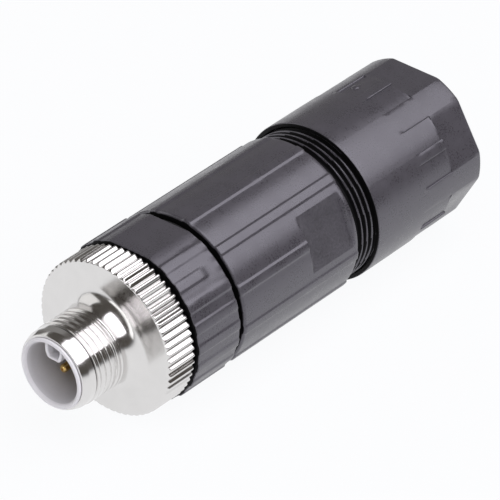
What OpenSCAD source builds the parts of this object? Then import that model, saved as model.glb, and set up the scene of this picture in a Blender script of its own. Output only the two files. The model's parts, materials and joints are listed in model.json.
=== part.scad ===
// Field-wireable M12 power plug, straight, with five screw terminals and a cable gland.
// The plug lies on its side. Its axis runs along Y, the mating face looks towards -Y and the
// cable leaves towards +Y. Every sub-part is drawn along its own +Z, the plug axis, measured
// from the flat face of the coupling screw, and lay() turns it into place.

/* [Coupling screw] */
// Outside diameter of the M12 coupling thread
thread_d = 12; // [11.8:0.05:12]
// Length of the threaded stem in front of the knurled head
stem_len = 10.2; // [9.8:0.1:10.8]
// Diameter over the knurl
knurl_d = 23.2; // [22.8:0.1:23.4]
// Width of the knurled head
head_w = 5.1; // [4.8:0.1:5.3]
// Number of teeth round the knurl
knurl_teeth = 64; // [48:1:72]
// Depth of the knurl grooves
knurl_depth = 0.38; // [0.25:0.01:0.45]

/* [Mating face] */
// Inside diameter of the plastic shroud
shroud_id = 8.8; // [8.6:0.05:9]
// Depth of the shroud, from its lip to its floor
shroud_depth = 8.7; // [8:0.1:9.2]
// How far the pin tips stay behind the lip
pin_recess = 3.9; // [3.5:0.1:4.5]
// Diameter of a power contact
pin_d = 1.2; // [1:0.05:1.3]
// Diameter of the circle of power contacts
pin_circle_d = 4.9; // [4.7:0.05:5]

/* [Front housing] */
// Diameter of the front housing between its ribs
ring_d = 23.6; // [23.3:0.1:23.7]
// Height of the ribs on the front housing
ring_rib_h = 0.16; // [0.05:0.01:0.2]
// Number of ribs round the front housing
ring_ribs = 24; // [18:6:30]
// Distance across the two flats of the front housing
ring_af = 22.6; // [22.3:0.1:22.8]

/* [Sleeve] */
// Diameter of the sleeve between its ribs
sleeve_d = 23.4; // [23.1:0.1:23.5]
// Height of the ribs on the sleeve
sleeve_rib_h = 0.18; // [0.05:0.01:0.25]
// Number of ribs round the sleeve
sleeve_ribs = 12; // [12:12:24]
// Distance across the two spanner flats of the sleeve
sleeve_af = 21.9; // [21.7:0.1:22.2]
// Outside diameter of the thread that carries the pressure nut
rear_thread_d = 22.4; // [22.2:0.1:22.4]

/* [Pressure nut] */
// Largest diameter of the pressure nut
nut_d = 24; // [23.9:0.1:24.2]
// Distance across the six spanner flats
nut_af = 22.4; // [22.2:0.1:22.6]
// Depth of the twelve windows in front of the flats
window_depth = 0.3; // [0.15:0.05:0.35]
// Diameter of the cable entry
cable_entry_d = 13.8; // [13:0.1:14]

/* [Cable gland] */
// Number of fingers on the clamping cage
cage_fingers = 14; // [10:1:16]
// Width of the slots between the fingers
cage_slot_w = 0.9; // [0.6:0.1:1.1]

/* [Hidden] */
$fn = 96;

// Colours
nickel = [0.78, 0.77, 0.76];
black_plastic = [0.24, 0.23, 0.26];
grey_plastic = [0.78, 0.78, 0.82];
natural_plastic = [0.88, 0.87, 0.82];
gold = [0.83, 0.64, 0.27];
rubber = [0.05, 0.05, 0.05];
steel = [0.62, 0.63, 0.65];

// Clearances: play turns or slides freely, seat only keeps two fixed faces apart
play = 0.08;
seat = 0.02;

// Stations along the axis, from the flat face of the coupling screw
lip_z = -stem_len - 0.5;
floor_z = lip_z + shroud_depth;
ring_z = head_w + 0.45;
groove_z = ring_z + 8.2;
sleeve_z = groove_z + 1.1;
shoulder_z = sleeve_z + 23.4;
nut_z = shoulder_z + 4.35;
rear_z = nut_z + 22.5;

// Front housing: collar for the coupling screw, body, and spigot that screws into the sleeve
web_z = 1.4;
collar_r = 8.6;
carrier_wall_z = web_z + 1.6;
carrier_r = 6.9;
spigot_r = 9.2;
spigot_end_z = groove_z + 5.5;
snap_z = web_z + 1.6;
snap_w = 0.8;

// Terminals, with the groove for the seal ring in front of them
block_z = 14;
seal_z = block_z + 1;
seal_w = 1.7;
seal_r = 5.9;
block_wide_z = spigot_end_z + 0.25;
block_end_z = block_wide_z + 10;
block_r = 8.6;
terminal_r = 5.8;
terminal_body_r = 1.95;
terminal_screw_r = 1.2;
terminal_screw_z = block_wide_z + 6;
pe_offset = 3.16;
pin_angles = [72, 144, 216, 288];

// Sleeve and gland
pocket_z = shoulder_z + 3;
tube_end_z = shoulder_z + 12.2;
pocket_r = 9.3;
cage_flange_w = 1.3;
finger_z = tube_end_z + seat + cage_flange_w;
finger_end_z = finger_z + 5;
nut_travel_in = 3.5;
nut_bore_end_z = finger_z + nut_travel_in + 0.3;
ring_bore_r = 10.3;
wall_z = rear_z - 2.8;

// Turn of each pattern about the axis, from straight up towards +X
ring_clock = -2.25;
sleeve_clock = 6.85;
nut_clock = -0.6;

// Places
middle_z = (lip_z + rear_z) / 2;
axis_h = nut_d / 2;

module lay() {
    translate([0, -middle_z, axis_h]) rotate([-90, 0, 0]) children();
}

// Turns a shape drawn along +X to an angle measured from straight up towards +X
module clock(angle) {
    rotate([0, 0, angle - 90]) children();
}

module tube(r_out, r_in, z0, z1) {
    translate([0, 0, z0]) difference() {
        cylinder(r = r_out, h = z1 - z0);
        translate([0, 0, -1]) cylinder(r = r_in, h = z1 - z0 + 2);
    }
}

module rod(r, z0, z1) {
    translate([0, 0, z0]) cylinder(r = r, h = z1 - z0);
}

// Points of an arc from angle a0 to a1 about a centre
function arc(centre, r, a0, a1, steps) =
    [for (i = [0:steps]) let (a = a0 + (a1 - a0) * i / steps) centre + r * [cos(a), sin(a)]];

// A rib with sloping sides along +X at radius r, top_deg wide on top
module rib(r, height, top_deg, z0, z1) {
    half = r * sin(top_deg / 2);
    sink = 0.5;
    translate([0, 0, z0]) linear_extrude(z1 - z0) polygon([
        [r - sink, -half - 2 * height],
        [r - 0.02, -half - 2 * height],
        [r + height, -half],
        [r + height, half],
        [r - 0.02, half + 2 * height],
        [r - sink, half + 2 * height],
    ]);
}

// What a barrel of radius r keeps between two end faces, with its edges and ribs chamfered together
module chamfered(r, chamfer, z0, z1) {
    over = 0.5;
    intersection() {
        children();
        rotate_extrude() polygon([
            [0, z0], [r - chamfer, z0], [r + over, z0 + chamfer + over],
            [r + over, z1 - chamfer - over], [r - chamfer, z1], [0, z1],
        ]);
    }
}

// A slab that cuts everything further out than reach along +X
module flat_cut(reach, z0, z1) {
    translate([reach, -15, z0]) cube([10, 30, z1 - z0]);
}

// A wedge from the axis outwards between two angles
module wedge(a0, a1, z0, z1) {
    far = 20;
    translate([0, 0, z0]) linear_extrude(z1 - z0)
        polygon([[0, 0], far * [cos(a0), sin(a0)], far * [cos(a1), sin(a1)]]);
}

// Coupling screw: threaded stem, hollow neck fillet, turned face and knurled head in one piece
module knurl_section() {
    pitch = 360 / knurl_teeth;
    crest = knurl_d / 2;
    root = crest - knurl_depth;
    corners = [[-0.24, crest], [0.24, crest], [0.44, root], [0.56, root]];
    polygon([for (i = [0:knurl_teeth - 1]) for (c = corners)
        c[1] * [cos((i + c[0]) * pitch), sin((i + c[0]) * pitch)]]);
}

module knurled_head() {
    r = knurl_d / 2;
    intersection() {
        rotate_extrude() polygon([
            [8, 0], [r - 0.42, 0], [r, 0.45], [r, head_w - 0.25], [r - 0.25, head_w], [8, head_w],
        ]);
        linear_extrude(head_w) knurl_section();
    }
}

module stem() {
    crest = thread_d / 2;
    neck = crest - 0.4;
    fillet = 1.35;
    rotate_extrude() polygon(concat(
        [[4, -stem_len], [crest - 0.5, -stem_len], [crest, -stem_len + 1],
         [crest, -3.7], [neck, -3.3]],
        arc([neck + fillet, -fillet], fillet, 180, 90, 8),
        [[9, 0], [9, 1], [4, 1]]
    ));
}

module coupling_screw() color(nickel) lay() difference() {
    union() {
        stem();
        knurled_head();
    }
    rod(4.95 + play, -stem_len - 1, web_z + 1);
    rod(collar_r + play, web_z, head_w + 1);
    rod(9.25, snap_z - 0.05, snap_z + snap_w + 0.05);
}

// Spring ring that holds the coupling screw on the collar
module retaining_ring() color(steel) lay() difference() {
    tube(9.15, 7.9, snap_z, snap_z + snap_w);
    clock(180) translate([6, -1.5, snap_z - 1]) cube([5, 3, 3]);
}

// True for the ribs of the front housing that its two flats leave standing
function clear_of_flats(i) = let (half = ring_ribs / 2, k = i % half) k >= 2 && k <= half - 2;

module front_housing() {
    r = ring_d / 2;
    short_rib = 3;
    color(black_plastic) lay() difference() {
        union() {
            rod(collar_r, web_z + 0.2, ring_z + 1);
            chamfered(r, 0.2, ring_z, groove_z) {
                rod(r, ring_z - 1, groove_z + 1);
                for (i = [0:ring_ribs - 1]) if (clear_of_flats(i)) clock(ring_clock + i * 360 / ring_ribs)
                    rib(r, ring_rib_h, 5.6, ring_z - 1, i == short_rib ? groove_z - 3 : groove_z + 1);
            }
            rod(spigot_r, groove_z - 1, spigot_end_z);
        }
        for (side = [0, 180]) clock(ring_clock + side) flat_cut(ring_af / 2, ring_z - 1, groove_z - seat);
        rod(4.95 + seat, 0, carrier_wall_z + 1);
        rod(carrier_r + seat, carrier_wall_z, spigot_end_z + 1);
        tube(collar_r + 1, 7.85, snap_z - 0.05, snap_z + snap_w + 0.05);
    }
}

// Rubber ring squeezed between the front housing and the sleeve
module housing_seal() color(rubber) lay() rotate_extrude() polygon([
    [spigot_r + 0.05, groove_z + seat], [10.4, groove_z + seat], [10.8, groove_z + 0.4],
    [10.8, sleeve_z - 0.4], [10.4, sleeve_z - seat], [spigot_r + 0.05, sleeve_z - seat],
]);

// Earth post: a five-sided wall that rises from the shroud's floor beside its upper wall
module post_section(inset) {
    half = 1.5 - inset;
    base = 1.85 + 0.85 * inset;
    top = 4.6 - 1.1 * inset;
    polygon([[-base, -half * 0.68], [-base - 0.85, -half], [-top, -half],
             [-top, half], [-base - 0.85, half], [-base, half * 0.68]]);
}

module contact_carrier() {
    bore = shroud_id / 2;
    back_z = block_z - seat;
    post_z = lip_z + 0.75;
    color(grey_plastic) lay() difference() {
        union() {
            rotate_extrude() polygon(concat(
                [[0, floor_z], [bore, floor_z], [bore, lip_z + 0.35]],
                arc([5, lip_z + 0.45], 0.45, 190, 350, 4),
                [[4.95, lip_z + 0.46], [4.95, carrier_wall_z + seat],
                 [carrier_r, carrier_wall_z + seat], [carrier_r, back_z], [0, back_z]]
            ));
            translate([0, 0, post_z]) linear_extrude(floor_z - post_z + 1)
                rotate([0, 0, 90]) post_section(0);
        }
        translate([0, 0, post_z - 1]) linear_extrude(floor_z - post_z + 1)
            rotate([0, 0, 90]) post_section(0.46);
        for (a = pin_angles) clock(a) translate([pin_circle_d / 2, 0, 0])
            rod(pin_d / 2 + seat, floor_z - 1, back_z + 1);
        clock(0) translate([pe_offset, 0, 0]) rod(0.85 + seat, floor_z - 1, back_z + 1);
    }
}

// Rubber ring that seals the insert in the bore of the front housing
module carrier_seal() color(rubber) lay()
    tube(carrier_r, seal_r + seat, seal_z + 0.05, seal_z + seal_w - 0.05);

// Contact: a round front, an arm to the side and a clamping body with a wire hole behind
module contact_back(front_r, offset, front_z) {
    arm_z = block_wide_z + 0.6;
    body_end_z = block_end_z - 1;
    difference() {
        union() {
            translate([offset, 0, 0]) rod(front_r, front_z, arm_z + 1);
            translate([offset, -0.6, arm_z]) cube([terminal_r - offset, 1.2, 1]);
            translate([terminal_r, 0, 0]) rod(terminal_body_r, arm_z, body_end_z);
        }
        translate([terminal_r, 0, 0]) rod(1.25, arm_z + 1.4, body_end_z + 1);
        translate([terminal_r, 0, terminal_screw_z]) rotate([0, 90, 0])
            cylinder(r = terminal_screw_r + play, h = 5);
    }
}

module contact_pin(angle) {
    r = pin_d / 2;
    tip_z = lip_z + pin_recess;
    color(gold) lay() clock(angle) difference() {
        union() {
            contact_back(r, pin_circle_d / 2, tip_z + 0.35);
            translate([pin_circle_d / 2, 0, 0]) rotate_extrude() polygon(concat(
                [[0, tip_z]], arc([r - 0.35, tip_z + 0.35], 0.35, 270, 360, 5), [[0, tip_z + 0.35]]));
        }
        translate([pin_circle_d / 2, 0, tip_z - 0.1]) cylinder(r = 0.16, h = 0.4);
    }
}

module pe_contact() {
    front_z = floor_z - 5;
    color(gold) lay() clock(0) difference() {
        contact_back(0.85, pe_offset, front_z);
        translate([pe_offset, 0, 0]) rod(0.55, front_z - 1, front_z + 6);
    }
}

// Terminal block: holds the clamping bodies, open behind for the wires and outside for the screws
module terminal_block() color(grey_plastic) lay() difference() {
    union() {
        rod(carrier_r, block_z, block_wide_z + 0.1);
        rod(block_r, block_wide_z, block_end_z);
    }
    for (a = pin_angles) clock(a) translate([pin_circle_d / 2, 0, 0])
        rod(pin_d / 2 + seat, block_z - 1, block_end_z);
    clock(0) translate([pe_offset, 0, 0]) rod(0.85 + seat, block_z - 1, block_end_z);
    tube(carrier_r + 1, seal_r, seal_z, seal_z + seal_w);
    for (a = [0:72:288]) clock(a) {
        translate([terminal_r, 0, 0])
            rod(terminal_body_r + seat, block_wide_z + 0.6 - seat, block_end_z + 1);
        translate([2.2, -0.7, block_wide_z + 0.6 - seat]) cube([terminal_r - 2.2, 1.4, 12]);
        translate([terminal_r, 0, terminal_screw_z]) rotate([0, 90, 0]) cylinder(r = 1.6, h = 5);
    }
}

// Slotted clamping screw of one terminal
module terminal_screw(angle) color(steel) lay() clock(angle)
    translate([0, 0, terminal_screw_z]) rotate([0, 90, 0]) difference() {
        rod(terminal_screw_r, 6.4, 8.4);
        translate([-2, -0.2, 7.8]) cube([4, 0.4, 1]);
    }

module sleeve() {
    r = sleeve_d / 2;
    thread_r = rear_thread_d / 2;
    flat_z = sleeve_z + 14.2;
    flat_end_z = shoulder_z - 0.4;
    color(black_plastic) lay() difference() {
        union() {
            chamfered(r, 0.3, sleeve_z, shoulder_z) {
                rod(r, sleeve_z - 1, shoulder_z + 1);
                for (i = [0:sleeve_ribs - 1]) clock(sleeve_clock + i * 360 / sleeve_ribs)
                    rib(r, sleeve_rib_h, 5.2, sleeve_z - 1, shoulder_z + 1);
            }
            rod(thread_r - 0.7, shoulder_z - 1, tube_end_z);
            rotate_extrude() polygon([
                [9.5, shoulder_z + 0.7], [thread_r - 0.6, shoulder_z + 0.7], [thread_r, shoulder_z + 1.1],
                [thread_r, tube_end_z - 0.6], [thread_r - 0.6, tube_end_z], [9.5, tube_end_z],
            ]);
        }
        for (side = [60, 240]) clock(sleeve_clock + side) {
            flat_cut(sleeve_af / 2, flat_z, flat_end_z);
            flat_cut(r, flat_z - 0.7, flat_end_z);
        }
        rod(spigot_r + play, sleeve_z - 1, pocket_z - 1.4);
        rod(8, sleeve_z, tube_end_z);
        rod(pocket_r, pocket_z, tube_end_z + 1);
    }
}

// Soft bush that closes on the cable, ribbed inside
module cable_grommet() {
    z0 = pocket_z + seat;
    z1 = tube_end_z - 1;
    rib_pitch = (z1 - z0) / 4;
    color(rubber) lay() difference() {
        rotate_extrude() polygon([
            [6.9, z0], [pocket_r - seat, z0], [pocket_r - seat, z1 - 0.8], [pocket_r - 0.8, z1], [6.9, z1],
        ]);
        for (i = [0:3]) tube(7.4, 0.5, z0 + (i + 0.3) * rib_pitch, z0 + (i + 0.7) * rib_pitch);
    }
}

// Cage of spring fingers that the thrust ring closes on the cable
module clamping_cage() {
    pitch = 360 / cage_fingers;
    color(natural_plastic) lay() difference() {
        rotate_extrude() polygon([
            [7.2, tube_end_z - 1 + seat], [pocket_r - seat, tube_end_z - 1 + seat],
            [pocket_r - seat, tube_end_z + seat], [10.9, tube_end_z + seat], [10.9, finger_z],
            [9.6, finger_z], [9.2, finger_end_z - 1.2], [8.45, finger_end_z], [7.2, finger_end_z],
        ]);
        for (i = [0:cage_fingers - 1]) rotate([0, 0, i * pitch])
            translate([5, -cage_slot_w / 2, finger_z - 0.4]) cube([6, cage_slot_w, 8]);
    }
}

// Slip ring that pushes the fingers in and keeps the turning nut off them
module thrust_ring() color(natural_plastic) lay() rotate_extrude() polygon([
    [9.9, wall_z - 3.4], [ring_bore_r - play, wall_z - 3.2], [ring_bore_r - play, wall_z - seat],
    [7.1, wall_z - seat], [7.1, wall_z - 0.2],
]);

module nut_windows() {
    r = nut_d / 2;
    land = acos(nut_af / nut_d);
    rib_half = 3.9;
    z0 = nut_z + 10.4;
    z1 = nut_z + 16.15;
    intersection() {
        tube(r + 2, r - window_depth, z0, z1);
        for (i = [0:5]) clock(nut_clock + i * 60) {
            wedge(rib_half, land, z0, z1);
            wedge(-land, -rib_half, z0, z1);
        }
    }
}

module pressure_nut() {
    r = nut_d / 2;
    entry = cable_entry_d / 2;
    color(black_plastic) lay() difference() {
        rotate_extrude() polygon(concat(
            [[5, nut_z], [r - 0.7, nut_z]],
            arc([r - 0.7, nut_z + 0.7], 0.7, 270, 360, 6),
            [[r, nut_z + 6], [r - 0.1, rear_z - 0.4], [r - 0.5, rear_z], [5, rear_z]]
        ));
        nut_windows();
        for (i = [0:5]) clock(nut_clock + i * 60) flat_cut(nut_af / 2, nut_z + 16.1, rear_z + 1);
        rod(rear_thread_d / 2 + play, nut_z - 1, nut_bore_end_z);
        rod(ring_bore_r, nut_z, wall_z);
        rod(entry, nut_z, rear_z + 1);
        rotate_extrude() polygon([
            [entry - 1, rear_z - 0.7], [entry, rear_z - 0.7], [entry + 0.7, rear_z],
            [entry + 0.7, rear_z + 1], [entry - 1, rear_z + 1],
        ]);
    }
}

coupling_screw();
retaining_ring();
front_housing();
housing_seal();
contact_carrier();
carrier_seal();
contact_pin(pin_angles[0]);  // contact_pin_1
contact_pin(pin_angles[1]);  // contact_pin_2
contact_pin(pin_angles[2]);  // contact_pin_3
contact_pin(pin_angles[3]);  // contact_pin_4
pe_contact();
terminal_block();
terminal_screw(pin_angles[0]);  // terminal_screw_1
terminal_screw(pin_angles[1]);  // terminal_screw_2
terminal_screw(pin_angles[2]);  // terminal_screw_3
terminal_screw(pin_angles[3]);  // terminal_screw_4
terminal_screw(0);  // terminal_screw_5
sleeve();
cable_grommet();
clamping_cage();
thrust_ring();
pressure_nut();
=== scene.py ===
"""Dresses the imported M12 power plug: fine skins over its solids, finishes, light and camera.

Every skin is a list of rings round the plug's axis. A ring holds angles, radii and stations: angles
run from straight up towards +X, and stations run along the axis from the flat face of the coupling
screw towards the cable, both radii and stations in millimetres.
"""
import json
import math

import bmesh
import bpy
import numpy as np
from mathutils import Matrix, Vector


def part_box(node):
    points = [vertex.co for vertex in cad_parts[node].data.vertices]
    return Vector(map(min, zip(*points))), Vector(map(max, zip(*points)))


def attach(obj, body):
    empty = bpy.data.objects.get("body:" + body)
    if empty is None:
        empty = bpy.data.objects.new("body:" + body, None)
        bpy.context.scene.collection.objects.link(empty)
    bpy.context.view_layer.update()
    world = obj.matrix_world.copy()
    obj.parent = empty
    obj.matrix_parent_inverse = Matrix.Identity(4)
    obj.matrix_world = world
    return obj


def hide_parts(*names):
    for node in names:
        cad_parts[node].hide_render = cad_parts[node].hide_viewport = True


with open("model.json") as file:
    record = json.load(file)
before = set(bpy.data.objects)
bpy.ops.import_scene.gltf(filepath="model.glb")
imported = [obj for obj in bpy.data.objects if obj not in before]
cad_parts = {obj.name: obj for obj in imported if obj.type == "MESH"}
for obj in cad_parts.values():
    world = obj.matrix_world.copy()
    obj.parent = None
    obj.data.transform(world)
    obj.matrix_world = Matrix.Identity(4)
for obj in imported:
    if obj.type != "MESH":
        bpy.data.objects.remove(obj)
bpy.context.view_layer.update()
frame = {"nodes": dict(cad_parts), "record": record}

# ---------------------------------------------------------------- sizes, in mm and degrees
# R is a radius, Z a station, REACH how far a flat lies from the axis, and CLOCK the angle from
# which a pattern is counted.

# Coupling screw: lead-in, plain land, notch, thread and neck of the stem, then the knurled disc
STEM_LEN, HEAD_W = 10.2, 5.1
BORE_R, LEAD_R = 5.03, 5.53
LAND_R, LAND_Z, LAND_END_Z = 5.87, -9.08, -7.78
THREAD_R, THREAD_PITCH, THREAD_DEPTH = 6.0, 1.0, 0.28
THREAD_Z, THREAD_END_Z = -8.9, -2.9
# The notch comes twice: behind the land, and again in the last turns of the thread
NOTCH_Z, NOTCH_APART, NOTCH_HALF, NOTCH_DEPTH = LAND_END_Z - 0.1, 4, 0.18, 0.28
NECK_R, NECK_Z, NECK_FILLET = 5.52, -2.62, 2.3
KNURL_R, KNURL_DEPTH, KNURL_TEETH, KNURL_ROUND = 11.6, 0.38, 64, 0.42
WEB_Z, COUNTERBORE_R = 1.4, 8.68
SNAP_Z, SNAP_END_Z, SNAP_R = 2.95, 3.85, 9.25

# Half a knurl tooth from its crest: (share of the tooth's width, share of its depth)
TOOTH = [(0, 0), (0.06, 0.013), (0.11, 0.066), (0.15, 0.153), (0.47, 0.98), (0.5, 1)]

# Contact carrier with its shroud, and the wall round the earth contact
LIP_Z = -STEM_LEN - 0.5
SHROUD_R, SHROUD_OUT_R = 4.4, 4.95
FLOOR_Z = LIP_Z + 8.7
CARRIER_R, CARRIER_Z, CARRIER_END_Z = 6.9, 3.02, 13.98
POST_Z, POST_HALF, POST_BASE, POST_TOP = LIP_Z + 0.75, 1.5, 1.85, 4.6

# Front housing: collar with the retaining ring's groove, ribbed barrel, threaded spigot
COLLAR_R, RETAINER_R, RETAINER_Z, RETAINER_END_Z = 8.6, 7.85, 2.9, 3.9
RING_Z = HEAD_W + 0.45
GROOVE_Z = RING_Z + 8.2
RING_R, RING_REACH, RING_RIBS, RING_CLOCK = 11.8, 11.3, 24, -2.25
RING_RIB_HALF, RING_RIB_SIDE, RING_RIB_H = 2.8, 1.55, 0.16
RING_FLATS = RING_CLOCK, RING_CLOCK + 180
SHORT_RIB, SHORT_RIB_END_Z = 3, GROOVE_Z - 3
SPIGOT_R, SPIGOT_DEPTH, SPIGOT_END_Z = 9.2, 0.34, GROOVE_Z + 5.5

# Sleeve: ribbed barrel with two stippled label flats, then the thread for the pressure nut
SLEEVE_Z = GROOVE_Z + 1.1
SHOULDER_Z = SLEEVE_Z + 23.4
SLEEVE_R, SLEEVE_REACH, SLEEVE_RIBS, SLEEVE_CLOCK = 11.7, 10.95, 12, 6.85
SLEEVE_RIB_HALF, SLEEVE_RIB_SIDE, SLEEVE_RIB_H = 2.6, 1.5, 0.18
LABEL_Z, LABEL_END_Z = SLEEVE_Z + 14.2, SHOULDER_Z - 0.4
LABEL_TURNS = 60, 240
LABEL_FLATS = [SLEEVE_CLOCK + turn for turn in LABEL_TURNS]
POCKET_Z, POCKET_R, STEP_R = SHOULDER_Z + 3, 9.3, 8.0
TUBE_END_Z = SHOULDER_Z + 12.2
REAR_THREAD_R, REAR_ROOT_R, REAR_PITCH = 11.2, 10.5, 1.04

# Pressure nut: round front, six sides with windows, then six flats; a gate mark in one window
NUT_Z = SHOULDER_Z + 4.35
REAR_Z = NUT_Z + 22.5
NUT_R, NUT_REACH, NUT_SIDES, NUT_CLOCK = 11.995, 11.2, 6, -0.6
NUT_DRAFT = 0.1
WINDOW_Z, WINDOW_END_Z, WINDOW_R = NUT_Z + 10.4, NUT_Z + 16.15, 11.7
MID_RIB_HALF = 3.9
GATE_ANGLE, GATE_Z, GATE_R, GATE_H = NUT_CLOCK - 14.5, 55.35, 0.66, 0.28
NUT_BORE_R, NUT_BORE_END_Z, NUT_CAVITY_R = 11.28, 55.57, 10.3
WALL_Z, ENTRY_R = REAR_Z - 2.8, 6.9

# The axis and the face of the coupling screw, from the frame
thread_mount = next(m for m in frame["record"]["mounts"] if m["name"] == "m12_thread")
AXIS_Z = thread_mount["pos_m"][2] * 1000
FACE_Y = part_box("coupling_screw")[1].y * 1000 - HEAD_W

# ---------------------------------------------------------------- rings and skins
WIDEST_STEP = 2.5
PLAIN = np.arange(0, 360, WIDEST_STEP)
FINE = np.arange(0, 360, 2.0)
SOFT_EDGE = 0.25
SHARP_ANGLE = math.radians(38)


def place(r, phi, z):
    """Points in metres from radii, angles in degrees and stations."""
    a = np.radians(phi)
    return np.stack([r * np.sin(a), FACE_Y + z, AXIS_Z + r * np.cos(a)], axis=-1) / 1000


def round_angles(marks):
    """The marks as angles in order, with the gaps filled evenly until none is too wide."""
    marks = sorted({round(m % 360, 4) for m in marks} | {0.0, 360.0})
    out = []
    for a, b in zip(marks[:-1], marks[1:]):
        steps = max(1, math.ceil((b - a) / WIDEST_STEP - 1e-6))
        out += [a + (b - a) * i / steps for i in range(steps)]
    return np.array(out)


def soft_edges(edges):
    """Each edge as two lines, so that it is shaded as a small round."""
    return [e + s for e in edges for s in (-SOFT_EDGE, SOFT_EDGE)]


def ring(angles, r, z):
    shape = (len(angles),)
    return (angles, np.broadcast_to(np.asarray(r, float), shape),
            np.broadcast_to(np.asarray(z, float), shape))


def pole(z):
    """A ring that has shrunk to one point on the axis."""
    return ring(np.array([0.0]), 0, z)


def lathe(points, angles=PLAIN):
    """Plain rings through (radius, station) points."""
    return [ring(angles, r, z) for r, z in points]


def bend(centre, radius, start, end, steps):
    """(radius, station) points on an arc: 0 degrees is away from the axis, 90 towards the cable."""
    turns = [math.radians(start + (end - start) * i / steps) for i in range(steps + 1)]
    return [(centre[0] + radius * math.cos(t), centre[1] + radius * math.sin(t)) for t in turns]


def faces_between(a, b, first_a, first_b):
    """Faces from ring a to ring b. Rings with other angles, or a pole, are joined by triangles."""
    n, m = len(a), len(b)
    if n == m and np.allclose(a, b):
        return [(first_a + j, first_a + (j + 1) % n, first_b + (j + 1) % n, first_b + j)
                for j in range(n)]

    def angle(angles, k):
        """The k-th angle, with the first again a full turn on, and infinity past the end."""
        count = len(angles)
        return math.inf if count == 1 or k > count else angles[k % count] + 360 * (k // count)

    out, i, j = [], 0, 0
    while (n > 1 and i < n) or (m > 1 and j < m):
        if angle(a, i + 1) <= angle(b, j + 1):
            out.append((first_a + i % n, first_a + (i + 1) % n, first_b + j % m))
            i += 1
        else:
            out.append((first_a + i % n, first_b + (j + 1) % m, first_b + j % m))
            j += 1
    return out


def skin(rings, closed=True):
    """Vertices and faces of rings joined in order, and the last to the first if closed."""
    verts = np.concatenate([place(r, a, z) for a, r, z in rings])
    first = np.cumsum([0] + [len(a) for a, _, _ in rings])
    faces = []
    for k in range(len(rings) - (0 if closed else 1)):
        k2 = (k + 1) % len(rings)
        faces += faces_between(rings[k][0], rings[k2][0], int(first[k]), int(first[k2]))
    return verts, faces


def add_piece(name, parts, body, node, materials):
    """One object from (vertices, faces) parts, smooth but for edges over the sharp angle."""
    mesh = bpy.data.meshes.new(name)
    verts = np.concatenate([v for v, _ in parts])
    faces, shift = [], 0
    for v, f in parts:
        faces += [tuple(i + shift for i in face) for face in f]
        shift += len(v)
    mesh.from_pydata(verts.tolist(), [], faces)
    mesh.validate()
    bm = bmesh.new()
    bm.from_mesh(mesh)
    for face in bm.faces:
        face.smooth = True
    for edge in bm.edges:
        edge.smooth = edge.calc_face_angle(0) < SHARP_ANGLE
    bm.to_mesh(mesh)
    bm.free()
    for m in materials:
        mesh.materials.append(m)
    piece = bpy.data.objects.new(name, mesh)
    bpy.context.scene.collection.objects.link(piece)
    normals = piece.modifiers.new("normals", "WEIGHTED_NORMAL")
    normals.keep_sharp = True
    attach(piece, body)
    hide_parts(node)
    return piece


def paint_shade(piece, material, start, end, outer, inner=-1.0):
    """Gives another of the piece's materials to faces between two stations and two radii; here it
    paints shade into gaps, grooves and the cup.
    """
    index = piece.data.materials.find(material.name)
    for face in piece.data.polygons:
        c = face.center * 1000
        if start < c.y - FACE_Y < end and inner < math.hypot(c.x, c.z - AXIS_Z) < outer:
            face.material_index = index


# ---------------------------------------------------------------- shapes round a ring
def off(angles, centre):
    """How far each angle lies from centre, in degrees without sign."""
    return np.abs((angles - centre + 180) % 360 - 180)


def off_whole(x):
    """How far x lies from the nearest whole number."""
    return np.abs((x + 0.5) % 1 - 0.5)


def ramp(x, a, b):
    """0 at a and 1 at b, straight between them and level beyond."""
    return np.clip((x - a) / (b - a), 0, 1)


def groove_shape(phase, half):
    """1 in the middle of a groove, at each whole phase, and 0 outside half a width of it."""
    d = off_whole(phase)
    return np.where(d < half, 0.5 + 0.5 * np.cos(np.pi * np.minimum(d, half) / half), 0)


def half_angle(reach, r):
    """Half the angle over which a plane at distance reach cuts a cylinder of radius r."""
    return math.degrees(math.acos(reach / r))


def flat_radius(angles, centres, reach):
    """Radius of planes at distance reach from the axis, and infinity where none of them faces."""
    widest = 80
    radii = [np.where(off(angles, c) < widest,
                      reach / np.cos(np.radians(np.minimum(off(angles, c), widest))), np.inf)
             for c in centres]
    return np.minimum.reduce(radii)


def flat_edges(centres, half):
    return [c + s * half for c in centres for s in (-1, 1)]


def rib_centres(count, clock):
    return clock + np.arange(count) * 360 / count


def rib_edges(centres, half, side):
    """Where ribs and their sloping sides begin and end."""
    return [c + s * e for c in centres for e in (half, half + side) for s in (-1, 1)]


def rib_heights(angles, centres, half, side, height):
    """Height of ribs with sloping sides: one row of heights for each rib."""
    return height * np.array([ramp(off(angles, c), half + side, half) for c in centres])


# ---------------------------------------------------------------- materials
class Nodes:
    """Short calls for building the node tree of a material or a world."""

    def __init__(self, owner):
        owner.use_nodes = True
        self.tree = owner.node_tree

    def fill(self, node, inputs):
        """Gives each of these inputs a value or another node's output."""
        for key, value in inputs.items():
            if isinstance(value, bpy.types.NodeSocket):
                self.tree.links.new(value, node.inputs[key])
            else:
                node.inputs[key].default_value = value

    def put(self, kind, inputs=None, **settings):
        """A new node with its inputs filled."""
        node = self.tree.nodes.new(kind)
        for key, value in settings.items():
            setattr(node, key, value)
        self.fill(node, inputs or {})
        return node

    def maths(self, operation, a, b=0.0):
        return self.put("ShaderNodeMath", {0: a, 1: b}, operation=operation).outputs[0]


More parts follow.
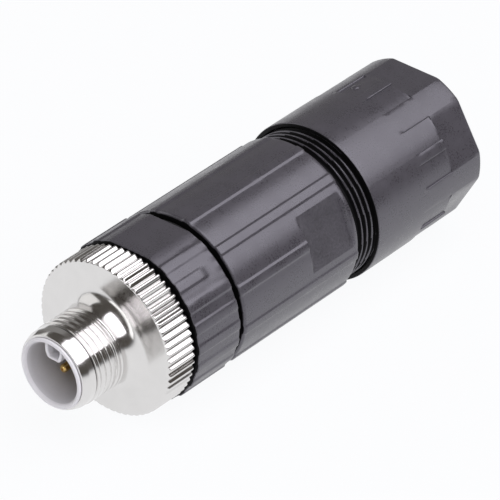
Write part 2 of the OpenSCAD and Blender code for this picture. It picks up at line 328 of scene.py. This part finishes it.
class Finish(Nodes):
    """A material built on the Principled shader, with its patterns fixed to the object."""

    # Most of a noise lies between these values
    NOISE_LOW, NOISE_HIGH = 0.3, 0.7

    def __init__(self, name):
        self.material = bpy.data.materials.new(name)
        super().__init__(self.material)
        self.shader = self.tree.nodes["Principled BSDF"]
        self.object = self.put("ShaderNodeTexCoord").outputs["Object"]

    def looks(self, **inputs):
        """Fills the shader's inputs, with _ for a space in their names."""
        self.fill(self.shader, {key.replace("_", " "): value for key, value in inputs.items()})

    def noise(self, per_mm, detail=3.0, roughness=0.6, stretch=None):
        """3-D noise with its size in features per millimetre."""
        spot = self.object
        if stretch:
            spot = self.put("ShaderNodeVectorMath", {0: spot, 1: stretch},
                            operation="MULTIPLY").outputs[0]
        return self.put("ShaderNodeTexNoise", {
            "Vector": spot, "Scale": per_mm * 1000, "Detail": detail,
            "Roughness": roughness}).outputs["Fac"]

    def noise_along(self, coordinate, per_mm, detail=2.0):
        """1-D noise of one coordinate, for turning marks."""
        return self.put("ShaderNodeTexNoise", {
            "W": coordinate, "Scale": per_mm * 1000, "Detail": detail},
            noise_dimensions="1D").outputs["Fac"]

    def between(self, fac, low, high):
        """A number that follows a noise from low to high."""
        return self.put("ShaderNodeMapRange", {
            "Value": fac, "From Min": self.NOISE_LOW, "From Max": self.NOISE_HIGH,
            "To Min": low, "To Max": high}).outputs["Result"]

    def shades(self, fac, colour, darker, lighter):
        """A colour that follows a noise from a share darker to a share lighter than colour."""
        node = self.put("ShaderNodeValToRGB", {"Fac": fac})
        ends = (self.NOISE_LOW, 1 - darker), (self.NOISE_HIGH, 1 + lighter)
        for element, (position, amount) in zip(node.color_ramp.elements, ends):
            element.position = position
            element.color = (*(c * amount for c in colour), 1)
        return node.outputs["Color"]

    def bump(self, *heights):
        """Adds (height, depth in mm) pairs as one bump after another."""
        so_far = {}
        for height, depth in heights:
            node = self.put("ShaderNodeBump", {
                "Strength": 1.0, "Distance": depth / 1000, "Height": height, **so_far})
            so_far = {"Normal": node.outputs["Normal"]}
        self.fill(self.shader, so_far)

    def axis_distance(self):
        """Distance from the plug's axis and place along it, in metres."""
        xyz = self.put("ShaderNodeSeparateXYZ", {0: self.object}).outputs
        up = self.maths("SUBTRACT", xyz["Z"], AXIS_Z / 1000)
        squares = self.maths("ADD", self.maths("MULTIPLY", xyz["X"], xyz["X"]),
                             self.maths("MULTIPLY", up, up))
        return self.maths("SQRT", squares), xyz["Y"]


def moulded_plastic(name, colour, roughness, grain_per_mm, grain_mm, mottle=0.1, shine=0.5):
    """Spark-eroded mould grain, faint cloudy mottling and uneven gloss."""
    f = Finish(name)
    cloud = f.noise(0.35, detail=4.0)
    grain = f.noise(grain_per_mm, detail=2.0, roughness=0.7)
    tone = f.maths("ADD", f.maths("MULTIPLY", cloud, 0.45), f.maths("MULTIPLY", grain, 0.55))
    f.looks(Base_Color=f.shades(tone, colour, mottle, mottle),
            Roughness=f.between(tone, roughness - 0.09, roughness + 0.11),
            Specular_IOR_Level=shine, IOR=1.53, Specular_Tint=(0.92, 0.91, 1.0, 1))
    f.bump((f.noise(grain_per_mm * 0.45, detail=3.0), grain_mm * 1.2), (grain, grain_mm))
    return f.material


def turned_metal(name, colour, roughness, mark_mm, tint=0.06, brushed=0.0):
    """Turned and plated metal: turning marks round the axis and a slight cloud in the gloss."""
    marks_per_mm = 9.0
    f = Finish(name)
    distance, along = f.axis_distance()
    marks = f.maths("ADD", f.noise_along(distance, marks_per_mm),
                    f.noise_along(along, marks_per_mm))
    cloud = f.noise(0.5, detail=3.0)
    f.looks(Base_Color=f.shades(cloud, colour, tint, tint),
            Roughness=f.between(cloud, roughness * 0.75, roughness * 1.3), Metallic=1.0)
    f.bump((marks, mark_mm))
    if brushed:
        tangent = f.put("ShaderNodeTangent", direction_type="RADIAL", axis="Y").outputs[0]
        f.looks(Tangent=tangent, Anisotropic=brushed, Anisotropic_Rotation=0.25)
    return f.material


def brushed_metal(name, colour, roughness):
    """Metal with streaks across the plug's axis."""
    f = Finish(name)
    streaks = f.noise(1.2, detail=3.0, stretch=(1.0, 12.0, 1.0))
    f.looks(Base_Color=f.shades(streaks, colour, 0.15, 0.1),
            Roughness=f.between(streaks, roughness * 0.8, roughness * 1.3), Metallic=1.0)
    f.bump((streaks, 0.004))
    return f.material


def soft_rubber(name, colour):
    f = Finish(name)
    fine = f.noise(5.0, detail=3.0)
    f.looks(Base_Color=f.shades(fine, colour, 0.3, 0.4), Roughness=f.between(fine, 0.6, 0.75))
    f.bump((fine, 0.02))
    return f.material


black = moulded_plastic("black polyamide", (0.052, 0.049, 0.058), roughness=0.30,
                        grain_per_mm=4.0, grain_mm=0.0045, mottle=0.22, shine=1.0)
stipple = moulded_plastic("black polyamide, stippled", (0.046, 0.043, 0.051), roughness=0.42,
                          grain_per_mm=3.0, grain_mm=0.045, mottle=0.45, shine=0.85)
# Painted shade: near-black plastic for gaps between parts, thread grooves and faces that a
# neighbouring part shades.
shaded = moulded_plastic("black polyamide, painted shade in the gaps", (0.003, 0.003, 0.003), roughness=0.5,
                         grain_per_mm=5.0, grain_mm=0.004, shine=0.15)
shroud_grey = moulded_plastic("grey insulator", (0.79, 0.787, 0.813), roughness=0.36,
                              grain_per_mm=4.0, grain_mm=0.003, mottle=0.03)
# Painted shade: darker copies of the grey insulator for the wall and the floor of the cup, where
# the cup shades itself.
painted_shade_cup_grey = moulded_plastic("grey insulator, painted shade in the cup", (0.60, 0.597, 0.615), roughness=0.36,
                           grain_per_mm=4.0, grain_mm=0.003, mottle=0.03)
painted_deep_shade_grey = moulded_plastic("grey insulator, painted deep shade in the cup", (0.22, 0.218, 0.222), roughness=0.4,
                            grain_per_mm=4.0, grain_mm=0.003, mottle=0.05)
natural = moulded_plastic("natural polyamide", (0.70, 0.68, 0.60), roughness=0.38,
                          grain_per_mm=3.0, grain_mm=0.004, mottle=0.04)
nickel = turned_metal("nickel plating", (0.735, 0.724, 0.716), roughness=0.17, mark_mm=0.0001,
                      tint=0.02, brushed=0.6)
# Painted shade: a dark copy of the nickel for the notch behind the plain land, standing in for the
# shade inside it.
painted_shade_nickel = turned_metal("nickel, painted shade in the run-out groove", (0.10, 0.092, 0.09), roughness=0.5,
                             mark_mm=0.0001)
gold = turned_metal("gold plating", (0.86, 0.60, 0.22), roughness=0.20, mark_mm=0.0008)
steel = brushed_metal("bright steel", (0.58, 0.58, 0.58), roughness=0.28)
rubber = soft_rubber("black rubber", (0.004, 0.004, 0.0045))

CAD_FINISH = {
    "retaining_ring": steel, "carrier_seal": rubber, "terminal_block": shroud_grey,
    "cable_grommet": rubber, "clamping_cage": natural, "thrust_ring": natural, "pe_contact": gold,
    **{f"contact_pin_{k}": gold for k in range(1, 5)},
    **{f"terminal_screw_{k}": steel for k in range(1, 6)},
}
for node, finish in CAD_FINISH.items():
    mesh = frame["nodes"][node].data
    mesh.materials.clear()
    mesh.materials.append(finish)


# ---------------------------------------------------------------- coupling screw
def stem_radius(angles, z):
    """Plain land in front, then the M12 thread, which runs out at the neck."""
    phase = (z - THREAD_PITCH * angles / 360) / THREAD_PITCH
    cut = THREAD_DEPTH * groove_shape(phase + 0.42, 0.24)
    cut = cut * ramp(z, LAND_END_Z, LAND_END_Z + 0.25)
    cut = cut * ramp(z, THREAD_END_Z - 0.05, THREAD_END_Z - 0.6)
    crest = LAND_R + (THREAD_R - LAND_R) * ramp(z, LAND_END_Z - 0.03, LAND_END_Z + 0.05)
    notch = NOTCH_DEPTH * groove_shape((z - NOTCH_Z) / NOTCH_APART, NOTCH_HALF / NOTCH_APART)
    return crest - cut - notch


def tooth_radius(angles):
    """Radius of the straight knurl: sloping flanks, narrow rounded crests and sharp roots."""
    share = off_whole(angles * KNURL_TEETH / 360)
    return KNURL_R - KNURL_DEPTH * np.interp(share, *zip(*TOOTH))


def coupling_screw():
    """Threaded stem, knurled disc, and behind it the counterbore with its snap groove."""
    lip = -STEM_LEN
    front = lathe([(BORE_R + 0.06, lip), (LEAD_R - 0.11, lip), (LEAD_R - 0.04, lip + 0.03),
                   (LEAD_R, lip + 0.1), (LAND_R - 0.05, LAND_Z - 0.22),
                   (LAND_R - 0.02, LAND_Z - 0.12), (LAND_R, LAND_Z)], FINE)
    thread = [ring(FINE, stem_radius(FINE, z), z) for z in np.arange(THREAD_Z, THREAD_END_Z, 0.05)]
    neck = lathe([(THREAD_R, THREAD_END_Z + 0.02), (THREAD_R - 0.03, THREAD_END_Z + 0.06),
                  (NECK_R + 0.04, NECK_Z + 0.05), (NECK_R, NECK_Z + 0.12)]
                 + bend((NECK_R + NECK_FILLET, -NECK_FILLET), NECK_FILLET, 180, 90, 14), FINE)

    half_tooth = sorted([share for share, _ in TOOTH] + [0.31])
    tooth = half_tooth + [1 - t for t in reversed(half_tooth[1:-1])]
    head = np.array([(k + t) * 360 / KNURL_TEETH for k in range(KNURL_TEETH) for t in tooth])
    teeth = tooth_radius(head)
    edge = bend((KNURL_R - KNURL_ROUND, KNURL_ROUND), KNURL_ROUND, -90, 0, 6)
    disc = lathe([(8.2, 0)], FINE) + [ring(head, r, 0) for r in (8.8, edge[0][0] - 0.05)]
    rim = [ring(head, np.minimum(teeth, r), z) for r, z in edge]
    rim += [ring(head, teeth, z) for z in (1.4, 2.8, 4.2, HEAD_W - 0.3)]
    rim += [ring(head, teeth - cut, HEAD_W - z)
            for cut, z in ((0.02, 0.2), (0.08, 0.1), (0.2, 0.02), (0.28, 0))]
    back = [ring(head, 10.6, HEAD_W)] + lathe([
        (COUNTERBORE_R + 0.15, HEAD_W), (COUNTERBORE_R, HEAD_W - 0.15),
        (COUNTERBORE_R, SNAP_END_Z), (SNAP_R, SNAP_END_Z), (SNAP_R, SNAP_Z),
        (COUNTERBORE_R, SNAP_Z), (COUNTERBORE_R, WEB_Z), (BORE_R, WEB_Z),
        (BORE_R, lip + 0.06)], FINE)
    return skin(front + thread + neck + disc + rim + back)


screw = add_piece("knurled_coupling_screw", [coupling_screw()], "coupling_body", "coupling_screw",
                  [nickel, painted_shade_nickel])
# Painted shade: the notch behind the plain land is dark nickel.
paint_shade(screw, painted_shade_nickel, NOTCH_Z - 0.08, NOTCH_Z + 0.08, outer=THREAD_R)


# ---------------------------------------------------------------- contact carrier
def post_outline(inset, corner=0.28, steps=5):
    """Rounded outline of the earth post, pulled in by inset: places right of and over the axis."""
    half, base, top = POST_HALF - inset, POST_BASE + 0.85 * inset, POST_TOP - 1.1 * inset
    foot, cheek = half * 0.68, base + 0.85
    corners = [Vector(c) for c in ((-foot, base), (-half, cheek), (-half, top),
                                   (half, top), (half, cheek), (foot, base))]
    r = corner * (1 - inset)
    out = []
    for k, c in enumerate(corners):
        to_before = (corners[k - 1] - c).normalized()
        to_after = (corners[(k + 1) % len(corners)] - c).normalized()
        for t in (i / steps for i in range(steps + 1)):
            a, b = c + to_before * r * (1 - t), c + to_after * r * t
            out.append(a + (b - a) * t)
    return np.array(out)


def post():
    """Five-sided wall round the earth contact, rounded on its front edge."""
    wall = [(0, FLOOR_Z + 0.5), (0, POST_Z + 0.14), (0.03, POST_Z + 0.05), (0.1, POST_Z + 0.01),
            (0.2, POST_Z), (0.28, POST_Z), (0.38, POST_Z + 0.02), (0.44, POST_Z + 0.08),
            (0.46, POST_Z + 0.2), (0.46, FLOOR_Z + 0.02), (0.3, FLOOR_Z + 0.5)]
    verts = []
    for inset, z in wall:
        right, over = post_outline(inset).T
        verts.append(np.stack([right, np.full(len(right), FACE_Y + z), AXIS_Z + over], axis=-1))
    n, rows = len(verts[0]), len(verts)
    faces = [(k * n + j, ((k + 1) % rows) * n + j, ((k + 1) % rows) * n + (j + 1) % n,
              k * n + (j + 1) % n) for k in range(rows) for j in range(n)]
    return np.concatenate(verts) / 1000, faces


def contact_carrier():
    """Carrier with the cup of the shroud in front and a rounded lip round its mouth."""
    lip_r = (SHROUD_R + SHROUD_OUT_R) / 2 + 0.32
    inside = lathe([
        (1.2, FLOOR_Z), (2.4, FLOOR_Z), (3.6, FLOOR_Z), (SHROUD_R - 0.3, FLOOR_Z),
        (SHROUD_R - 0.06, FLOOR_Z - 0.06), (SHROUD_R, FLOOR_Z - 0.3), (SHROUD_R, -4.5),
        (SHROUD_R, -7), (SHROUD_R, LIP_Z + 1.2), (SHROUD_R + 0.04, LIP_Z + 0.8),
        (SHROUD_R + 0.13, LIP_Z + 0.45), (SHROUD_R + 0.26, LIP_Z + 0.18),
        (lip_r - 0.22, LIP_Z + 0.04), (lip_r - 0.12, LIP_Z + 0.01)], FINE)
    outside = lathe([
        (lip_r - 0.03, LIP_Z), (lip_r + 0.06, LIP_Z + 0.02), (lip_r + 0.17, LIP_Z + 0.09),
        (lip_r + 0.24, LIP_Z + 0.2), (lip_r + 0.25, LIP_Z + 0.3), (lip_r + 0.2, LIP_Z + 0.42),
        (SHROUD_OUT_R, LIP_Z + 0.5), (SHROUD_OUT_R, CARRIER_Z), (CARRIER_R, CARRIER_Z),
        (CARRIER_R, CARRIER_END_Z)], FINE)
    return skin([pole(FLOOR_Z)] + inside + outside + [pole(CARRIER_END_Z)], closed=False)


shroud = add_piece("shroud_and_carrier", [contact_carrier(), post()], "insert_body",
                   "contact_carrier", [shroud_grey, painted_shade_cup_grey, painted_deep_shade_grey])
# Painted shade: the cup's wall is a darker grey, and its floor darker still.
paint_shade(shroud, painted_shade_cup_grey, LIP_Z + 0.5, FLOOR_Z + 0.1, outer=SHROUD_R + 0.25, inner=SHROUD_R - 0.04)
paint_shade(shroud, painted_deep_shade_grey, FLOOR_Z - 0.1, FLOOR_Z + 0.1, outer=SHROUD_R)


# ---------------------------------------------------------------- front housing
def standing_ribs():
    """Ribs that the two flats leave."""
    half = RING_RIBS // 2
    return [k for k in range(RING_RIBS) if 2 <= k % half <= half - 2]


def front_housing():
    """Collar, ribbed barrel with two flats and one short rib, and the threaded spigot."""
    centres = rib_centres(RING_RIBS, RING_CLOCK)
    rib_form = RING_RIB_HALF, RING_RIB_SIDE
    angles = round_angles(soft_edges(
        flat_edges(RING_FLATS, half_angle(RING_REACH, RING_R))
        + rib_edges([centres[k] for k in standing_ribs()], *rib_form)))
    ribs = rib_heights(angles, centres, *rib_form, RING_RIB_H)
    flats = flat_radius(angles, RING_FLATS, RING_REACH)

    def radius(z):
        short = ramp(z, SHORT_RIB_END_Z + 0.8, SHORT_RIB_END_Z - 0.4)
        heights = sum(ribs[k] * (short if k == SHORT_RIB else 1) for k in standing_ribs())
        return np.minimum(RING_R + heights, flats)

    collar = lathe([
        (5.0, WEB_Z + 0.2), (COLLAR_R - 0.2, WEB_Z + 0.2), (COLLAR_R, WEB_Z + 0.4),
        (COLLAR_R, RETAINER_Z), (RETAINER_R, RETAINER_Z), (RETAINER_R, RETAINER_END_Z),
        (COLLAR_R, RETAINER_END_Z), (COLLAR_R, RING_Z), (11.0, RING_Z)])
    chamfer = [(0.14, 0.0), (0.07, 0.02), (0.02, 0.06), (0.0, 0.13)]
    stations = [RING_Z + 2, RING_Z + 4, *(SHORT_RIB_END_Z + z for z in (-0.5, -0.3, 0, 0.4, 0.8)),
                GROOVE_Z - 1.5]
    barrel = [ring(angles, radius(RING_Z + 1) - cut, RING_Z + z) for cut, z in chamfer]
    barrel += [ring(angles, radius(z), z) for z in stations]
    barrel += [ring(angles, radius(GROOVE_Z) - cut, GROOVE_Z - z) for cut, z in reversed(chamfer)]

    def spigot_radius(z):
        rise = ramp(z, GROOVE_Z + 1.2, GROOVE_Z + 1.5)
        return SPIGOT_R - SPIGOT_DEPTH * groove_shape(z - PLAIN / 360, 0.4) * rise

    spigot = lathe([(10.8, GROOVE_Z), (SPIGOT_R, GROOVE_Z)])
    spigot += [ring(PLAIN, spigot_radius(z), z)
               for z in np.arange(GROOVE_Z + 0.3, SPIGOT_END_Z - 0.5, 0.06)]
    spigot += lathe([(SPIGOT_R - SPIGOT_DEPTH, SPIGOT_END_Z - 0.4), (SPIGOT_R - 0.5, SPIGOT_END_Z)])
    inside = lathe([(CARRIER_R + 0.1, SPIGOT_END_Z), (CARRIER_R + 0.02, SPIGOT_END_Z - 0.1),
                    (CARRIER_R + 0.02, 3.0), (4.97, 3.0), (4.97, WEB_Z + 0.25)])
    return skin(collar + barrel + spigot + inside)


housing = add_piece("ribbed_front_housing", [front_housing()], "insert_body", "front_housing",
                    [black, shaded])
# Painted shade: the collar in the gap behind the knurled disc and the spigot in the gap before the
# sleeve are near-black.
paint_shade(housing, shaded, 0, RING_Z + 0.01, outer=RING_R - 0.12)
paint_shade(housing, shaded, GROOVE_Z - 0.01, REAR_Z, outer=RING_R - 0.12)


# ---------------------------------------------------------------- seal in the gap
def gap_seal():
    """Ring with a rounded outer edge, in the gap between housing and sleeve."""
    inner, outer = SPIGOT_R + 0.05, 10.2
    front, rear = GROOVE_Z + 0.02, SLEEVE_Z - 0.02
    edge = bend((outer + 0.15, (GROOVE_Z + SLEEVE_Z) / 2), 0.5, -75, 75, 8)
    return skin(lathe([(inner, front), (outer, front), *edge, (outer, rear), (inner, rear)]))


add_piece("gap_seal", [gap_seal()], "seal_body", "housing_seal", [rubber])


# ---------------------------------------------------------------- sleeve
def sleeve_skin():
    """Ribbed barrel with two label flats, then the tube that carries the nut's thread."""
    centres = rib_centres(SLEEVE_RIBS, SLEEVE_CLOCK)
    rib_form = SLEEVE_RIB_HALF, SLEEVE_RIB_SIDE
    angles = round_angles(soft_edges(
        flat_edges(LABEL_FLATS, half_angle(SLEEVE_REACH, SLEEVE_R))
        + rib_edges(centres, *rib_form)))
    ribs = rib_heights(angles, centres, *rib_form, SLEEVE_RIB_H)
    broken = {round(turn * SLEEVE_RIBS / 360) for turn in LABEL_TURNS}
    flats = flat_radius(angles, LABEL_FLATS, SLEEVE_REACH)

    def radius(z, flat_depth=0.0):
        keep = ramp(z, LABEL_Z - 0.2, LABEL_Z - 0.25) + ramp(z, LABEL_END_Z, LABEL_END_Z + 0.1)
        outer = SLEEVE_R + sum(ribs[k] * (keep if k in broken else 1) for k in range(SLEEVE_RIBS))
        return outer + np.minimum(flats - outer, 0) * flat_depth

    # Ends of the barrel as (cut, distance), and of the label flats as (distance, depth)
    chamfer = [(0.36, 0.0), (0.24, 0.03), (0.1, 0.14), (0.02, 0.3), (0.0, 0.45)]
    shoulder_edge = [(0.0, 0.04), (0.03, 0.12), (0.1, 0.16)]
    wall = [(-0.08, 0.0), (-0.04, 0.07), (0.03, 0.93), (0.08, 1.0)]
    rear_wall = [(0.5, 1.0), (0.44, 0.96), (0.1, 0.1), (0.04, 0.02), (-0.04, 0.0)]
    on_label = LABEL_Z + 1
    barrel = [ring(angles, radius(SLEEVE_Z + 1) - cut, SLEEVE_Z + z) for cut, z in chamfer]
    barrel += [ring(angles, radius(z), z) for z in np.arange(SLEEVE_Z + 2, LABEL_Z - 1.5, 2.0)]
    barrel += [ring(angles, radius(LABEL_Z - z), LABEL_Z - z) for z in (0.9, 0.75, 0.6, 0.4)]
    barrel += [ring(angles, radius(LABEL_Z - 0.3, depth), LABEL_Z + z) for z, depth in wall]
    barrel += [ring(angles, radius(on_label, 1.0), z)
               for z in np.arange(on_label, LABEL_END_Z - 0.5, 1.5)]
    barrel += [ring(angles, radius(on_label, depth), LABEL_END_Z - z) for z, depth in rear_wall]
    barrel += [ring(angles, radius(on_label) - cut, SHOULDER_Z + z) for cut, z in shoulder_edge]

    def thread_radius(z):
        rise = (ramp(z, SHOULDER_Z + 0.75, SHOULDER_Z + 1.15)
                * ramp(z, TUBE_END_Z - 0.35, TUBE_END_Z - 0.8))
        phase = (z - REAR_PITCH * FINE / 360) / REAR_PITCH
        profile = (1 - groove_shape(phase + 0.17, 0.5)) ** 1.6
        return REAR_ROOT_R + (REAR_THREAD_R - REAR_ROOT_R) * rise * profile

    shoulder = lathe([(11.0, SHOULDER_Z + 0.16), (REAR_ROOT_R + 0.15, SHOULDER_Z),
                      (REAR_ROOT_R, SHOULDER_Z + 0.15)], FINE)
    thread = [ring(FINE, thread_radius(z), z)
              for z in np.arange(SHOULDER_Z + 0.3, TUBE_END_Z - 0.5, 0.065)]
    inside = lathe([
        (REAR_ROOT_R - 0.1, TUBE_END_Z - 0.1), (REAR_ROOT_R - 0.2, TUBE_END_Z),
        (POCKET_R + 0.2, TUBE_END_Z), (POCKET_R, TUBE_END_Z - 0.2), (POCKET_R, POCKET_Z),
        (STEP_R, POCKET_Z), (STEP_R, POCKET_Z - 1.4), (SPIGOT_R + 0.08, POCKET_Z - 1.4),
        (SPIGOT_R + 0.08, SLEEVE_Z + 0.3), (SPIGOT_R + 0.3, SLEEVE_Z)])
    return skin(barrel + shoulder + thread + inside)


def stipple_labels(piece):
    """Gives the stippled finish to the faces that lie on the label flats."""
    index = piece.data.materials.find(stipple.name)
    for face in piece.data.polygons:
        c = face.center * 1000
        for side in map(math.radians, LABEL_FLATS):
            reach = c.x * math.sin(side) + (c.z - AXIS_Z) * math.cos(side)
            on_flat = abs(reach - SLEEVE_REACH) < 0.01
            if on_flat and LABEL_Z + 0.05 < c.y - FACE_Y < LABEL_END_Z - 0.4:
                face.material_index = index


sleeve = add_piece("ribbed_sleeve", [sleeve_skin()], "sleeve_body", "sleeve",
                   [black, stipple, shaded])
# Painted shade: the sleeve's front end in the gap, the grooves of the rear thread, and the thread
# next to the nut's front, which the nut shades, are near-black.
paint_shade(sleeve, shaded, SLEEVE_Z - 1, SLEEVE_Z + 0.01, outer=SLEEVE_R - 0.2)
paint_shade(sleeve, shaded, SHOULDER_Z + 0.17, REAR_Z, outer=REAR_ROOT_R + 0.55)
paint_shade(sleeve, shaded, NUT_Z - 0.35, NUT_Z + 0.3, outer=REAR_THREAD_R + 1)
stipple_labels(sleeve)


# ---------------------------------------------------------------- pressure nut
def window_share(beyond):
    """How deep a window is, from 0 to 1, at an angle beyond its side: round edge, steep wall."""
    return np.interp(beyond, [-0.7, -0.35, -0.15, 0.0, 0.05], [0.0, 0.1, 0.28, 0.6, 1.0])


def nut_skin():
    """Nut whose sides have two windows, one on each side of a middle rib, and flats behind them."""
    centres = rib_centres(NUT_SIDES, NUT_CLOCK)
    land_half = half_angle(NUT_REACH, NUT_R)
    edges = [c + s * (half + t * step) for c in centres
             for half, t in ((MID_RIB_HALF, -1), (land_half, 1))
             for step in (-0.05, 0.0, 0.15, 0.35, 0.7) for s in (-1, 1)]
    across_gate = range(-6, 7)
    angles = round_angles(edges + [GATE_ANGLE + 0.6 * k for k in across_gate])
    flats = flat_radius(angles, centres, NUT_REACH)
    window = sum(window_share(off(angles, c) - MID_RIB_HALF)
                 * window_share(land_half - off(angles, c)) for c in centres)

    def gate(z):
        """Height of the small dome where the mould was filled."""
        around = off(angles, GATE_ANGLE) * NUT_R * math.pi / 180
        share = (around ** 2 + (z - GATE_Z) ** 2) / GATE_R ** 2
        return GATE_H * np.sqrt(np.maximum(1 - share, 0))

    def radius(z, window_depth=0.0, flat_depth=0.0):
        outer = NUT_R - NUT_DRAFT * ramp(z, NUT_Z + 6, REAR_Z - 0.4)
        cut = outer + (WINDOW_R - outer) * window * window_depth
        dome = gate(z) if window_depth == 1 else 0
        return cut + np.minimum(flats - cut, 0) * flat_depth + dome

    front = lathe([(NUT_BORE_R, NUT_Z + 0.25), (NUT_BORE_R + 0.08, NUT_Z + 0.06),
                   (NUT_BORE_R + 0.14, NUT_Z)])
    front += [ring(angles, r, z) for r, z in bend((NUT_R - 0.2, NUT_Z + 0.2), 0.2, -90, 0, 5)]
    body = [ring(angles, radius(NUT_Z + z), NUT_Z + z) for z in (2, 4, 6, 8, 9.6)]
    body += [ring(angles, radius(WINDOW_Z, depth), WINDOW_Z + z)
             for z, depth in ((-0.01, 0.0), (0.01, 1.0))]
    in_window = [WINDOW_Z + 0.8, *(GATE_Z + 0.12 * k for k in across_gate),
                 WINDOW_END_Z - 1.6, WINDOW_END_Z - 0.5]
    body += [ring(angles, radius(z, 1.0), z) for z in sorted(in_window)]
    body += [ring(angles, radius(WINDOW_END_Z, 1.0 - depth, depth), WINDOW_END_Z + z)
             for z, depth in ((-0.07, 0.0), (-0.03, 0.08), (0.02, 0.92), (0.07, 1.0))]
    body += [ring(angles, radius(z, 0.0, 1.0), z)
             for z in np.arange(WINDOW_END_Z + 1, REAR_Z - 0.7, 1.2)]
    rear = [ring(angles, radius(REAR_Z, 0.0, 1.0) - cut, REAR_Z - z)
            for cut, z in ((0.0, 0.45), (0.04, 0.28), (0.14, 0.13), (0.28, 0.03), (0.42, 0.0))]
    inside = lathe([
        (9.5, REAR_Z), (ENTRY_R + 0.75, REAR_Z), (ENTRY_R + 0.65, REAR_Z - 0.04),
        (ENTRY_R, REAR_Z - 0.7), (ENTRY_R, WALL_Z), (NUT_CAVITY_R, WALL_Z),
        (NUT_CAVITY_R, NUT_BORE_END_Z), (NUT_BORE_R, NUT_BORE_END_Z)])
    return skin(front + body + rear + inside)


nut = add_piece("cap_nut", [nut_skin()], "nut_body", "pressure_nut",
                [black, shaded])
# Painted shade: the nut's front face, close before the sleeve's shoulder, is near-black.
paint_shade(nut, shaded, NUT_Z - 1, NUT_Z + 0.05, outer=NUT_R - 0.08)


# ---------------------------------------------------------------- camera
AZIMUTH, ELEVATION, DISTANCE = math.radians(40.75), math.radians(34.5), 0.673
TARGET = Vector((0.0043, -0.0027, 0.0154))


def look_along(thing, direction):
    """Turns a camera or a lamp so that it looks along direction."""
    thing.rotation_euler = direction.to_track_quat("-Z", "Y").to_euler()


back = Vector((math.sin(AZIMUTH) * math.cos(ELEVATION), -math.cos(AZIMUTH) * math.cos(ELEVATION),
               math.sin(ELEVATION)))
camera = bpy.data.objects.new("camera", bpy.data.cameras.new("camera"))
bpy.context.scene.collection.objects.link(camera)
camera.data.lens, camera.data.sensor_width = 360, 36
camera.data.clip_start, camera.data.clip_end = 0.01, 20
camera.location = TARGET + back * DISTANCE
look_along(camera, -back)
bpy.context.scene.camera = camera


# ---------------------------------------------------------------- light and floor
def softbox(name, direction, distance, size, radiance, colour=(1, 1, 1), shift=0.0):
    """A lamp that faces the plug, then shifted along Y; radiance is what a mirror shows of it."""
    data = bpy.data.lights.new(name, "AREA")
    data.shape = "RECTANGLE"
    data.size, data.size_y = size
    data.energy = radiance * math.pi * size[0] * size[1]
    data.color = colour
    lamp = bpy.data.objects.new(name, data)
    bpy.context.scene.collection.objects.link(lamp)
    towards = Vector(direction).normalized()
    lamp.location = towards * distance + Vector((0, 0, AXIS_Z / 1000))
    lamp.location.y += shift
    look_along(lamp, -towards)


softbox("key", direction=(0.485, 0.0, 0.875), distance=0.90, size=(1.86, 1.14), radiance=2.3,
        colour=(0.975, 0.955, 1.0), shift=0.12)
softbox("back card", direction=(-0.66, 0.624, 0.42), distance=1.0, size=(1.1, 0.9), radiance=0.18,
        colour=(0.98, 0.98, 1.0))
softbox("left card", direction=(-1.0, -0.35, 0.30), distance=0.9, size=(0.8, 0.8), radiance=0.9)
softbox("front card", direction=(0.1, -1.0, 0.08), distance=1.0, size=(1.2, 0.25), radiance=1.6)


def floor_material():
    """Paper that keeps the shadow, with a glow that makes it white to the camera and in mirrors.

    In mirrors the glow fades with the distance from a point to the left of the plug.
    """
    material = bpy.data.materials.new("pale floor")
    n = Nodes(material)
    n.tree.nodes.clear()
    rays = n.put("ShaderNodeLightPath").outputs
    spot = n.put("ShaderNodeTexCoord").outputs["Object"]
    moved = n.put("ShaderNodeVectorMath", {0: spot, 1: (0.10, 0.0, 0.0)}).outputs[0]
    distance = n.put("ShaderNodeVectorMath", {0: moved}, operation="LENGTH").outputs["Value"]
    fade = n.put("ShaderNodeMapRange", {"Value": distance, "From Min": 0.13, "From Max": 0.34,
                                        "To Min": 0.0, "To Max": 0.85},
                 interpolation_type="SMOOTHSTEP").outputs[0]
    strength = n.maths("SUBTRACT", 1.0, n.maths("MULTIPLY", rays["Is Glossy Ray"], fade))
    paper = n.put("ShaderNodeBsdfDiffuse", {"Color": (0.86, 0.86, 0.86, 1)}).outputs[0]
    glow = n.put("ShaderNodeEmission", {"Color": (0.985, 0.99, 1.0, 1),
                                        "Strength": strength}).outputs[0]
    glow_share = n.maths("MAXIMUM", n.maths("MULTIPLY", rays["Is Camera Ray"], 0.95),
                         n.maths("MULTIPLY", rays["Is Glossy Ray"], 0.9))
    mixed = n.put("ShaderNodeMixShader", {0: glow_share, 1: paper, 2: glow}).outputs[0]
    n.put("ShaderNodeOutputMaterial", {0: mixed})
    return material


half = 3.0
mesh = bpy.data.meshes.new("floor")
mesh.from_pydata([(-half, -half, 0), (half, -half, 0), (half, half, 0), (-half, half, 0)], [],
                 [(0, 1, 2, 3)])
mesh.materials.append(floor_material())
floor = bpy.data.objects.new("floor", mesh)
bpy.context.scene.collection.objects.link(floor)

# The world is white to the camera and lights the plug dimly
world = bpy.data.worlds.new("studio")
bpy.context.scene.world = world
studio = Nodes(world)
seen_by_camera = studio.put("ShaderNodeLightPath").outputs["Is Camera Ray"]
mix = studio.put("ShaderNodeMix", {"Factor": seen_by_camera, "A": (0.084, 0.076, 0.068, 1),
                                   "B": (1, 1, 1, 1)}, data_type="RGBA")
studio.fill(studio.tree.nodes["Background"], {"Color": mix.outputs["Result"]})

bpy.context.scene.view_settings.view_transform = "Standard"
